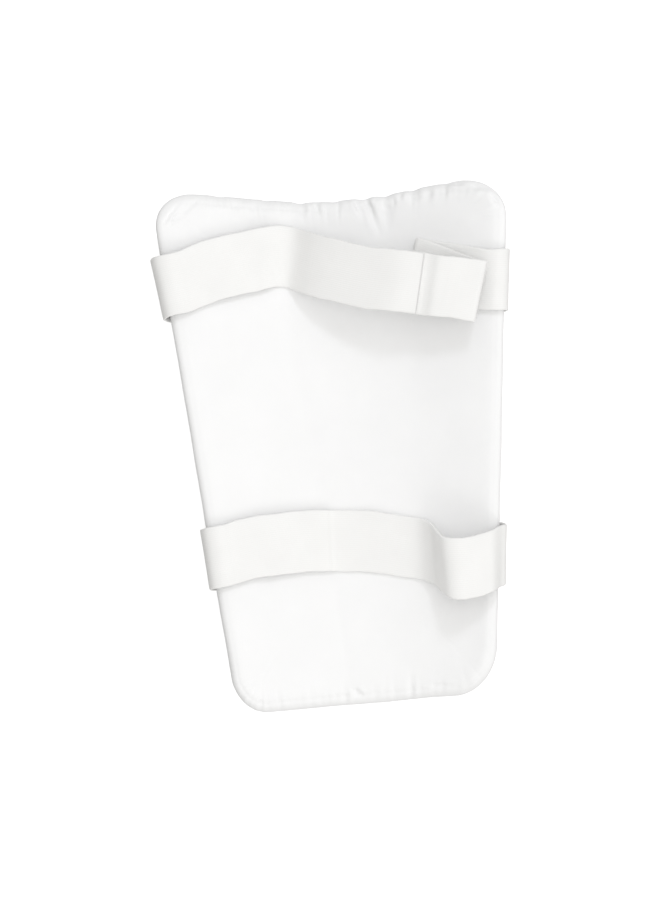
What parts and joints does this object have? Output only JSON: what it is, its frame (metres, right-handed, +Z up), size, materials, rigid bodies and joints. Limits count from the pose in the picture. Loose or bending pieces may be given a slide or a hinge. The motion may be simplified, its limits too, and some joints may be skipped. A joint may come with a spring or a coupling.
{
  "type": "cricket thigh guard",
  "caption": "Padded white thigh guard with a trough-shaped panel and elastic webbing straps, lying on its front with its back up.",
  "frame": {"origin": "middle of the outer box at the level that the guard rests on", "axes": "+Y along the pad toward its wide top, +X across the pad to the right seen from above, +Z up out of its back"},
  "size_m": [0.2278, 0.3316, 0.0519],
  "materials": {
    "cover": "smooth matt white cotton cover over foam padding",
    "webbing": "ribbed cream-white elastic webbing",
    "touch_fastener": "brushed loop of a touch fastener"
  },
  "bodies": {
    "root": {"pad": "cover", "upper_strap": "webbing", "upper_strap_tab": "webbing", "lower_strap": "webbing", "upper_fastener_patch": "touch_fastener", "lower_fastener_patch": "touch_fastener"}
  },
  "joints": []
}
